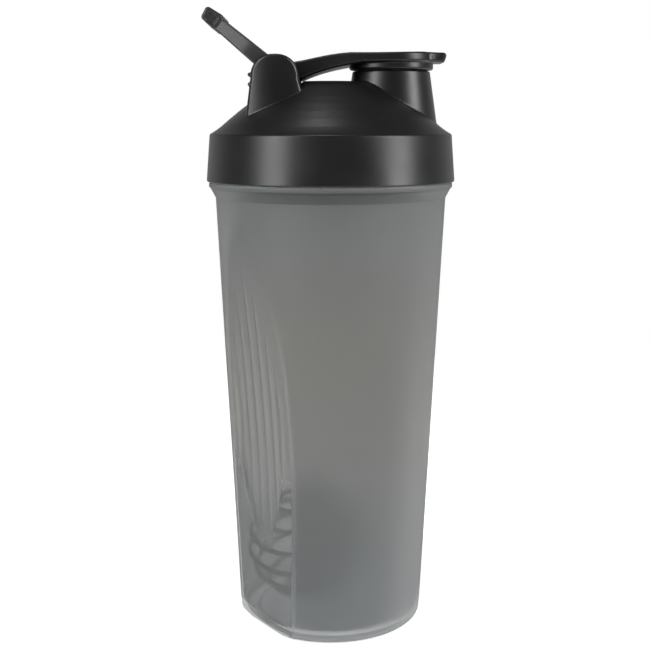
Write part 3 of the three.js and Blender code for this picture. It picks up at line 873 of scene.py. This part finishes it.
def map_range(tree, value, low, high, to_low, to_high):
    """A node that carries a value from one range to another and holds it there."""
    made = tree.nodes.new("ShaderNodeMapRange")
    tree.links.new(value, made.inputs["Value"])
    limits = {"From Min": low, "From Max": high, "To Min": to_low, "To Max": to_high}
    for socket, number in limits.items():
        made.inputs[socket].default_value = number
    return made


class Finish:
    """A material with one Principled shader and the nodes that feed it."""

    def __init__(self, name, **values):
        self.material = bpy.data.materials.new(name)
        self.material.use_nodes = True
        self.tree = self.material.node_tree
        self.shader = self.tree.nodes["Principled BSDF"]
        self.place = self.node("ShaderNodeTexCoord").outputs["Object"]
        for socket, value in values.items():
            self.shader.inputs[socket.replace("_", " ")].default_value = value

    def node(self, kind, **settings):
        made = self.tree.nodes.new(kind)
        for key, value in settings.items():
            setattr(made, key, value)
        return made

    def link(self, output, target):
        self.tree.links.new(output, target)

    def noise(self, scale, detail):
        made = self.node("ShaderNodeTexNoise")
        made.inputs["Scale"].default_value = scale
        made.inputs["Detail"].default_value = detail
        self.link(self.place, made.inputs["Vector"])
        return made.outputs["Fac"]

    def ranged(self, value, low, high, to_low, to_high):
        return map_range(self.tree, value, low, high, to_low, to_high).outputs["Result"]

    def math(self, operation, a, b):
        made = self.node("ShaderNodeMath", operation=operation)
        for socket, value in zip(made.inputs, (a, b)):
            if isinstance(value, (int, float)):
                socket.default_value = value
            else:
                self.link(value, socket)
        return made.outputs["Value"]

    def bump(self, height, strength, distance):
        made = self.node("ShaderNodeBump")
        made.inputs["Strength"].default_value = strength
        made.inputs["Distance"].default_value = distance
        self.link(height, made.inputs["Height"])
        self.link(made.outputs["Normal"], self.shader.inputs["Normal"])

    def colours(self, value, low, high, scale=None):
        """A mix of two colours by a value, and perhaps darkened by another."""
        made = self.node("ShaderNodeMix", data_type="RGBA")
        self.link(value, made.inputs["Factor"])
        made.inputs[6].default_value = (*low, 1)
        made.inputs[7].default_value = (*high, 1)
        colour = made.outputs[2]
        if scale is not None:
            darker = self.node("ShaderNodeVectorMath", operation="SCALE")
            self.link(colour, darker.inputs[0])
            self.link(scale, darker.inputs["Scale"])
            colour = darker.outputs["Vector"]
        self.link(colour, self.shader.inputs["Base Color"])


def frosted_plastic():
    """Smoke-grey plastic: frosted by the mould outside, clearer below the grips' ribs, smooth inside."""
    finish = Finish("frosted_plastic", Transmission_Weight=1.0, IOR=1.49, Specular_IOR_Level=0.08)
    frost = finish.node("ShaderNodeAttribute", attribute_name="frost").outputs["Fac"]
    floor = finish.node("ShaderNodeAttribute", attribute_name="clear").outputs["Fac"]
    slant = finish.node("ShaderNodeLayerWeight").outputs["Facing"]
    speckle = finish.noise(1400, 3)
    cloud = finish.noise(14, 2)
    split = finish.node("ShaderNodeSeparateXYZ")
    finish.link(finish.place, split.inputs["Vector"])
    height = split.outputs["Z"]

    uneven = finish.ranged(speckle, 0.3, 0.7, -0.02, 0.03)
    uneven = finish.math("MULTIPLY", uneven, finish.ranged(frost, 0.6, 1, 0, 1))
    rough = finish.math("ADD", finish.ranged(frost, 0, 1, 0.05, 0.58), uneven)
    finish.link(rough, finish.shader.inputs["Roughness"])

    tint = finish.ranged(cloud, 0, 1, 0.455, 0.485)
    tint = finish.math("MULTIPLY", tint, finish.ranged(frost, 0.1, 1, 0.72, 1))
    # a slanting ray goes a longer way through the tinted wall
    tint = finish.math("MULTIPLY", tint, finish.ranged(slant, 0, 0.6, 1, 0.8))
    # painted shade: the cup's tint is darker over its lowest 7 mm, which dims the bright rim at its foot
    tint = finish.math("MULTIPLY", tint, finish.ranged(height, 0, 0.007, 0.68, 1))
    # painted light: the cup's floor gets a lighter tint, which lifts the shade under the cup
    tint = finish.math("ADD", tint, finish.math("MULTIPLY", floor, 0.4))

    # bluer at the foot and the shoulder than in the middle
    low_blue = finish.ranged(height, 0.03, 0.08, 1, 0)
    high_blue = finish.ranged(height, 0.12, 0.165, 0, 1)
    blue = finish.math("ADD", low_blue, high_blue)
    blue = finish.math("ADD", blue, finish.ranged(cloud, 0.3, 0.7, -0.1, 0.1))
    finish.colours(blue, (1, 1, 0.965), (0.955, 0.99, 1), tint)
    finish.bump(finish.math("MULTIPLY", speckle, frost), 0.25, 0.00002)
    return finish.material


def moulded_plastic(name, dark, light, rough, grain_depth=0.25):
    """Opaque moulded plastic with a fine satin grain and a faint unevenness in its gloss."""
    finish = Finish(name, IOR=1.49, Specular_IOR_Level=0.5)
    grain = finish.noise(2600, 2)
    cloud = finish.noise(60, 4)
    finish.colours(cloud, dark, light)
    gloss = finish.ranged(cloud, 0.3, 0.7, rough - 0.03, rough + 0.03)
    gloss = finish.math("ADD", gloss, finish.ranged(grain, 0.3, 0.7, -0.03, 0.03))
    finish.link(gloss, finish.shader.inputs["Roughness"])
    finish.bump(grain, grain_depth, 0.00003)
    return finish.material


def silicone():
    finish = Finish("silicone", IOR=1.41, Specular_IOR_Level=0.4, Sheen_Weight=0.15)
    dust = finish.noise(900, 4)
    finish.colours(dust, (0.018, 0.019, 0.02), (0.03, 0.031, 0.032))
    finish.link(finish.ranged(dust, 0.3, 0.7, 0.55, 0.7), finish.shader.inputs["Roughness"])
    finish.bump(dust, 0.2, 0.00002)
    return finish.material


def drawn_wire():
    """Stainless wire, with the fine marks that drawing it leaves."""
    finish = Finish("stainless", Metallic=1.0)
    marks = finish.noise(700, 4)
    finish.colours(marks, (0.14, 0.14, 0.145), (0.22, 0.22, 0.225))
    finish.link(finish.ranged(marks, 0.3, 0.7, 0.16, 0.3), finish.shader.inputs["Roughness"])
    finish.bump(marks, 0.15, 0.00002)
    return finish.material


# ---- studio ----


def make_camera():
    """A camera in front of the bottle, a little above its shoulder and looking slightly down."""
    data = bpy.data.cameras.new("camera")
    data.lens = 61.75
    data.sensor_width = 36
    camera = bpy.data.objects.new("camera", data)
    camera.location = (-0.0021, -0.4270, 0.1946)
    camera.rotation_euler = (math.radians(79.6), 0, 0)
    bpy.context.scene.collection.objects.link(camera)
    bpy.context.scene.camera = camera


def area_light(name, azimuth, elevation, distance, size, power):
    """A soft light aimed at the lid. Azimuth 0 is in front of the bottle and 90 at its right."""
    data = bpy.data.lights.new(name, "AREA")
    data.shape = "RECTANGLE"
    data.size, data.size_y = size
    data.energy = power
    light = bpy.data.objects.new(name, data)
    a, e = math.radians(azimuth), math.radians(elevation)
    aim = Vector((0, 0, 0.15))
    away = Vector((math.sin(a) * math.cos(e), -math.cos(a) * math.cos(e), math.sin(e)))
    light.location = aim + away * distance
    light.rotation_euler = away.to_track_quat("Z", "Y").to_euler()
    light.visible_transmission = False
    bpy.context.scene.collection.objects.link(light)


def make_floor():
    """A round white table top."""
    steps, radius = 128, 0.5
    angles = np.linspace(0, 2 * math.pi, steps, endpoint=False)
    points = np.stack([np.cos(angles), np.sin(angles), np.zeros(steps)], axis=1) * radius / MM
    mesh = mesh_of("floor", points, np.arange(steps)[None, :])
    floor = object_of(mesh)
    finish = Finish("floor_white", Roughness=0.9, Specular_IOR_Level=0.1, Emission_Strength=0.6)
    finish.colours(finish.noise(6, 2), (0.93, 0.93, 0.93), (0.95, 0.95, 0.95))
    mesh.materials.append(finish.material)


def make_world():
    """Surroundings that look white directly and through the cup.

    As reflections and soft light they are dim, and brightest along the horizon behind.
    """
    world = bpy.data.worlds.new("studio")
    world.use_nodes = True
    tree = world.node_tree
    background = tree.nodes["Background"]
    direction = tree.nodes.new("ShaderNodeTexCoord").outputs["Generated"]
    split = tree.nodes.new("ShaderNodeSeparateXYZ")
    tree.links.new(direction, split.inputs["Vector"])
    ramps = []
    for axis, *limits in (("Y", -0.1, 0.8, 0.0, 0.4), ("Z", 0.15, 0.7, 1.0, 0.0)):
        ramp = map_range(tree, split.outputs[axis], *limits)
        ramp.interpolation_type = "SMOOTHSTEP"
        ramps.append(ramp.outputs["Result"])
    behind = tree.nodes.new("ShaderNodeMath")
    behind.operation = "MULTIPLY_ADD"
    tree.links.new(ramps[0], behind.inputs[0])
    tree.links.new(ramps[1], behind.inputs[1])
    behind.inputs[2].default_value = 0.1
    rays = tree.nodes.new("ShaderNodeLightPath")
    seen = tree.nodes.new("ShaderNodeMath")
    seen.operation = "MAXIMUM"
    tree.links.new(rays.outputs["Is Camera Ray"], seen.inputs[0])
    tree.links.new(rays.outputs["Is Transmission Ray"], seen.inputs[1])
    strength = tree.nodes.new("ShaderNodeMath")
    strength.operation = "MAXIMUM"
    tree.links.new(seen.outputs[0], strength.inputs[0])
    tree.links.new(behind.outputs[0], strength.inputs[1])
    tree.links.new(strength.outputs[0], background.inputs["Strength"])
    background.inputs["Color"].default_value = (1, 1, 1, 1)
    bpy.context.scene.world = world


def make_studio():
    make_camera()
    make_floor()
    make_world()
    area_light("left_softbox", -52.5, 20, 1.0, (0.35, 0.8), 8.4)
    area_light("right_softbox", 64, 20, 1.0, (0.38, 0.8), 9.2)
    area_light("top_softbox", -55, 83, 1.0, (0.3, 0.2), 1.6)
    bpy.context.scene.view_settings.view_transform = "Standard"


# ---- assembly ----

make_studio()
black = moulded_plastic("black_plastic", (0.0045, 0.0045, 0.005), (0.0065, 0.0065, 0.007), 0.36)
grey_black = moulded_plastic(
    "grey_black_plastic", (0.020, 0.020, 0.021), (0.027, 0.027, 0.028), 0.42, grain_depth=0.1
)
rubber = silicone()
finish_piece(build_cup(), "cup", "cup", frosted_plastic())
finish_piece(build_lid(), "lid", "lid_shell", black)
finish_piece(build_gasket(), "gasket", "lid_gasket", rubber)
finish_piece(build_cap(), "cap", "flip_cap", black)
finish_piece(build_seal(), "cap", "spout_seal", rubber)
finish_piece(build_loop(), "loop", "carry_loop", grey_black)
finish_piece(build_ball(), "ball", "whisk_ball", drawn_wire())
